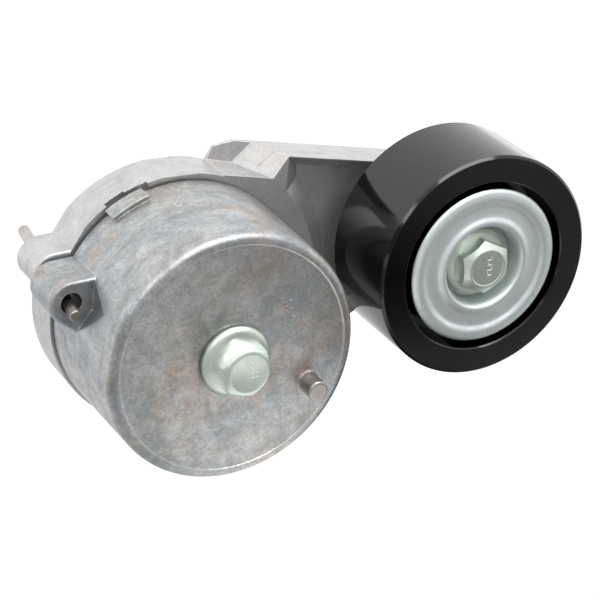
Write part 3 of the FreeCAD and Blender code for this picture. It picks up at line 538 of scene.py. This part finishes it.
def can_dashes():
    """Two tiny raised dashes on the round side of the case, near its top."""
    bm = bmesh.new()
    for place in DASH_PLACES:
        made = bmesh.ops.create_icosphere(bm, subdivisions=3, radius=1.0)["verts"]
        lean = Matrix.Rotation(math.atan2(place[0], place[2]), 4, "Y")
        size = Matrix.Diagonal((*DASH_HALF, 1.0))
        bmesh.ops.transform(bm, matrix=Matrix.Translation(place) @ lean @ size, verts=made)
    finished("case_side_dashes", bm, case_metal, "case")


RIDGE_START = 34.0 * MM
RIDGE_SPACING = 0.5 * MM
RIDGE_POINTS = 49
RIDGE_HALF = 0.17 * MM
RIDGE_SUNK = -0.02 * MM
ABOVE_ARM = 80.0 * MM


def parting_ridge():
    """Fine casting ridge that runs along the step and the top of the arm."""
    arm = nodes["arm"]
    tree = BVHTree.FromPolygons([arm.matrix_world @ vertex.co for vertex in arm.data.vertices],
                                [polygon.vertices[:] for polygon in arm.data.polygons])
    down = Vector((0.0, 0.0, -1.0))
    corners = ((-RIDGE_HALF, RIDGE_SUNK), (0.0, RIDGE_HALF), (RIDGE_HALF, RIDGE_SUNK), (0.0, -RIDGE_HALF))
    bm = bmesh.new()
    loops = []
    for step in range(RIDGE_POINTS):
        x = RIDGE_START + RIDGE_SPACING * step
        z = tree.ray_cast(Vector((x, PARTING_LINE_Y, ABOVE_ARM)), down)[0].z
        loops.append([bm.verts.new((x, PARTING_LINE_Y + across, z + up)) for across, up in corners])
    for first, second in zip(loops, loops[1:]):
        for corner in range(len(corners)):
            after = (corner + 1) % len(corners)
            bm.faces.new((first[corner], first[after], second[after], second[corner]))
    bm.faces.new(loops[0])
    bm.faces.new(loops[-1])
    finished("arm_parting_ridge", bm, arm_metal, "swing_arm")


def wound_spring():
    """A copy of the torsion spring's mesh in place of the CAD node, with its placement baked into the mesh.
    """
    source = nodes["torsion_spring"]
    spring = bpy.data.objects.new("torsion_spring_winding", source.data.copy())
    spring.matrix_world = source.matrix_world
    bpy.context.scene.collection.objects.link(spring)
    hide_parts("torsion_spring")
    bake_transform(spring)


bright_scratch = steel("scratch_bare_metal", srgb(226, 226, 224), srgb(196, 196, 195), 0.3, 12.0)
bolt_with_thread()
mounting_head_marks()
pulley_head_marks()
scratches()
can_dashes()
parting_ridge()
wound_spring()


# ---------------------------------------------------------------- stage

STAGE_SIZE = 8.0
STAGE_X = 0.03
FLOOR_Z = -0.0865
FLOOR_COLOUR = (0.8, 0.8, 0.8, 1.0)
FLOOR_GLOW = 1.12
FLOOR_GLOW_SHARE = 0.9

CARD_BELOW = 0.0006
CARD_DARK_Y = -0.16
CARD_LIGHT_Y = 0.01
CARD_LIGHT = 1.0
CARD_X = (-0.10, 0.30)
CARD_FRONT = ((-0.05, 0.40), (0.045, 0.85), (0.090, 0.06), (0.122, 0.06), (0.19, 0.38))
CARD_BRIGHT_SPOT = ((0.03, -0.085), 0.03, 0.08, 0.5, 0.0)
CARD_DARK_SPOT = ((0.072, -0.05), 0.02, 0.055, 0.1, 1.0)
CARD_FAR_LIGHT = ((0.05, 0.0), 0.32, 0.50, 0.0, 0.7)

DOME = 1.40
DOME_COLOUR = (0.98, 0.99, 1.0, 1.0)
DOME_GAPS = (((-0.72, -0.68, -0.10), 0.60, 0.92, 0.19), ((0.42, -0.91, 0.04), 0.80, 0.96, 0.10))

CAMERA_PLACE = (-0.25714, -0.61583, 0.32612)
CAMERA_DOWN = 26.686
CAMERA_TURN = -27.03
CAMERA_LENS = 129.76
CAMERA_SENSOR = 36.0
CAMERA_CLIP = (0.05, 20.0)


def plane(name, size, location, material):
    """Square level stage plane."""
    mesh = bpy.data.meshes.new(name)
    half = size / 2
    corners = [(-half, -half, 0), (half, -half, 0), (half, half, 0), (-half, half, 0)]
    mesh.from_pydata(corners, [], [(0, 1, 2, 3)])
    obj = bpy.data.objects.new(name, mesh)
    obj.location = location
    mesh.materials.append(material)
    bpy.context.scene.collection.objects.link(obj)


def floor_material():
    """Plain pale floor, lit mostly by its own glow."""
    material = bpy.data.materials.new("pale_floor")
    g = Tree(material)
    diffuse = g.add("ShaderNodeBsdfDiffuse")
    diffuse.inputs["Color"].default_value = FLOOR_COLOUR
    glow = g.add("ShaderNodeEmission")
    glow.inputs["Strength"].default_value = FLOOR_GLOW
    surface = g.mix_shaders(FLOOR_GLOW_SHARE, diffuse.outputs[0], glow.outputs[0])
    g.link(surface, g.add("ShaderNodeOutputMaterial").inputs["Surface"])
    return material


def front_strength(g, x):
    """How brightly the front of the card shines, by the place across it."""
    ramp = g.add("ShaderNodeValToRGB")
    stops = ramp.color_ramp.elements
    while len(stops) < len(CARD_FRONT):
        stops.new(0.5)
    for stop, (place, strength) in zip(stops, CARD_FRONT):
        stop.position = (place - CARD_X[0]) / (CARD_X[1] - CARD_X[0])
        stop.color = (strength, strength, strength, 1.0)
    g.link(g.level(x, CARD_X[0], CARD_X[1], 0.0, 1.0), ramp.inputs["Fac"])
    return ramp.outputs["Color"]


def card_spot(g, place, centre, inner, outer, inside, outside):
    """A value inside one radius round a place on the card, and another outside a second."""
    away = g.add("ShaderNodeVectorMath", operation="DISTANCE")
    g.link(place, away.inputs[0])
    away.inputs[1].default_value = (*centre, cad_bounds[0][2])
    return g.level(away.outputs["Value"], inner, outer, inside, outside, "SMOOTHSTEP")


def card_material():
    """Reflector under the object: unseen by the camera, and falling off to dark in front."""
    material = bpy.data.materials.new("reflector_card")
    g = Tree(material)
    place = g.add("ShaderNodeNewGeometry").outputs["Position"]
    split = g.add("ShaderNodeSeparateXYZ")
    g.link(place, split.inputs[0])
    strength = g.level(split.outputs["Y"], CARD_DARK_Y, CARD_LIGHT_Y,
                       front_strength(g, split.outputs["X"]), CARD_LIGHT, "SMOOTHSTEP")
    strength = g.math("ADD", strength, card_spot(g, place, *CARD_BRIGHT_SPOT))
    strength = g.math("MULTIPLY", strength, card_spot(g, place, *CARD_DARK_SPOT))
    strength = g.math("ADD", strength, card_spot(g, place, *CARD_FAR_LIGHT))
    bounce = g.add("ShaderNodeEmission")
    g.link(strength, bounce.inputs["Strength"])
    unseen = g.add("ShaderNodeBsdfTransparent")
    to_camera = g.add("ShaderNodeLightPath").outputs["Is Camera Ray"]
    surface = g.mix_shaders(to_camera, bounce.outputs[0], unseen.outputs[0])
    g.link(surface, g.add("ShaderNodeOutputMaterial").inputs["Surface"])
    return material


def area(name, location, turn, size, radiance):
    """Rectangular soft light of a given radiance, turned in degrees from looking straight down."""
    light = bpy.data.lights.new(name, "AREA")
    light.shape = "RECTANGLE"
    light.size = size[0]
    light.size_y = size[1]
    light.energy = radiance * math.pi * size[0] * size[1]
    obj = bpy.data.objects.new(name, light)
    obj.location = location
    obj.rotation_euler = [math.radians(angle) for angle in turn]
    bpy.context.scene.collection.objects.link(obj)


def studio_world():
    """Bright dome with a dark gap low at the front left and another low at the front right."""
    world = bpy.data.worlds.new("studio")
    bpy.context.scene.world = world
    g = Tree(world)
    outwards = g.add("ShaderNodeTexCoord").outputs["Generated"]
    strength = DOME
    for direction, edge, centre, remains in DOME_GAPS:
        dot = g.add("ShaderNodeVectorMath", operation="DOT_PRODUCT")
        dot.inputs[1].default_value = direction
        g.link(outwards, dot.inputs[0])
        gap = g.level(dot.outputs["Value"], edge, centre, 1.0, remains, "SMOOTHSTEP")
        strength = g.math("MULTIPLY", strength, gap)
    background = g.add("ShaderNodeBackground")
    background.inputs["Color"].default_value = DOME_COLOUR
    g.link(strength, background.inputs["Strength"])
    g.link(background.outputs[0], g.add("ShaderNodeOutputWorld").inputs["Surface"])


def add_camera():
    """Long lens that looks down and to the right at the object."""
    data = bpy.data.cameras.new("camera")
    data.sensor_width = CAMERA_SENSOR
    data.lens = CAMERA_LENS
    data.clip_start, data.clip_end = CAMERA_CLIP
    camera = bpy.data.objects.new("camera", data)
    camera.location = CAMERA_PLACE
    camera.rotation_euler = (math.radians(90.0 - CAMERA_DOWN), 0.0, math.radians(CAMERA_TURN))
    bpy.context.scene.collection.objects.link(camera)
    bpy.context.scene.camera = camera


plane("reflector_card", STAGE_SIZE, (STAGE_X, 0.0, cad_bounds[0][2] - CARD_BELOW), card_material())
plane("floor", STAGE_SIZE, (STAGE_X, 0.0, FLOOR_Z), floor_material())
area("overhead", location=(0.28, -0.42, 0.80), turn=(0.0, 0.0, 0.0), size=(0.75, 0.40), radiance=6.0)
area("rim", location=(-0.62, -0.64, 0.58), turn=(57.0, 0.0, -44.0), size=(0.30, 0.30), radiance=4.5)
studio_world()
add_camera()
bpy.context.scene.view_settings.view_transform = "Standard"
